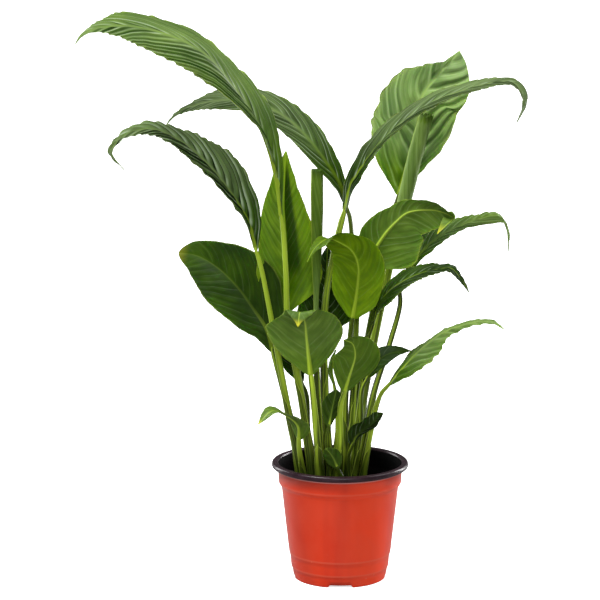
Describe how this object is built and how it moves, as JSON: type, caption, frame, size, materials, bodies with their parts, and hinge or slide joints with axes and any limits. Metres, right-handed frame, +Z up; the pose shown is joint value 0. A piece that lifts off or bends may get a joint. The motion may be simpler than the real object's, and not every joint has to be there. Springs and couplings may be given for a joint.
{
  "type": "potted peace lily",
  "caption": "Peace lily with arching glossy leaves on long stalks, rooted in soil in an orange-red plastic nursery pot with a dark inside.",
  "frame": {"origin": "middle of the flat pad under the pot, on the surface it stands on", "axes": "+Z up the plant, +X to the right and -Y towards the viewer of the pictured side"},
  "size_m": [0.409, 0.2047, 0.5395],
  "materials": {
    "pot_plastic": "satin orange-red plastic with faint streaks, near black on the rim and inside",
    "soil": "moist crumbly potting soil",
    "leaf_dark": "glossy dark green leaf with pleated veins",
    "leaf_mid": "satin green leaf with pleated veins",
    "leaf_light": "satin yellow-green leaf, light comes through it",
    "stalk": "smooth light green stalk, waxy"
  },
  "bodies": {
    "root": {"pot": "pot_plastic", "soil": "soil", "high_left_blade": "leaf_mid", "high_left_stalk": "stalk", "back_left_blade": "leaf_dark", "back_left_stalk": "stalk", "right_arch_blade": "leaf_dark", "right_arch_stalk": "stalk", "low_left_arch_blade": "leaf_dark", "low_left_arch_stalk": "stalk", "tall_centre_blade": "leaf_light", "tall_centre_stalk": "stalk", "broad_left_blade": "leaf_dark", "broad_left_stalk": "stalk", "rolled_centre_blade": "leaf_mid", "rolled_centre_stalk": "stalk", "broad_right_blade": "leaf_mid", "broad_right_stalk": "stalk", "front_blade": "leaf_mid", "front_stalk": "stalk", "centre_right_blade": "leaf_light", "centre_right_stalk": "stalk", "high_right_blade": "leaf_light", "high_right_stalk": "stalk", "rolled_right_blade": "leaf_mid", "rolled_right_stalk": "stalk", "drooping_right_blade": "leaf_mid", "drooping_right_stalk": "stalk", "dark_right_blade": "leaf_dark", "dark_right_stalk": "stalk", "low_right_blade": "leaf_mid", "low_right_stalk": "stalk", "small_right_blade": "leaf_dark", "small_right_stalk": "stalk", "front_right_blade": "leaf_mid", "front_right_stalk": "stalk", "crumpled_right_blade": "leaf_dark", "crumpled_right_stalk": "stalk", "low_left_blade": "leaf_mid", "low_left_stalk": "stalk", "rim_leaf_blade": "leaf_dark", "rim_leaf_stalk": "stalk", "inner_dark_blade": "leaf_dark", "inner_dark_stalk": "stalk", "slim_centre_blade": "leaf_light", "slim_centre_stalk": "stalk", "back_centre_blade": "leaf_dark", "back_centre_stalk": "stalk", "inner_left_blade": "leaf_dark", "inner_left_stalk": "stalk"}
  },
  "joints": []
}
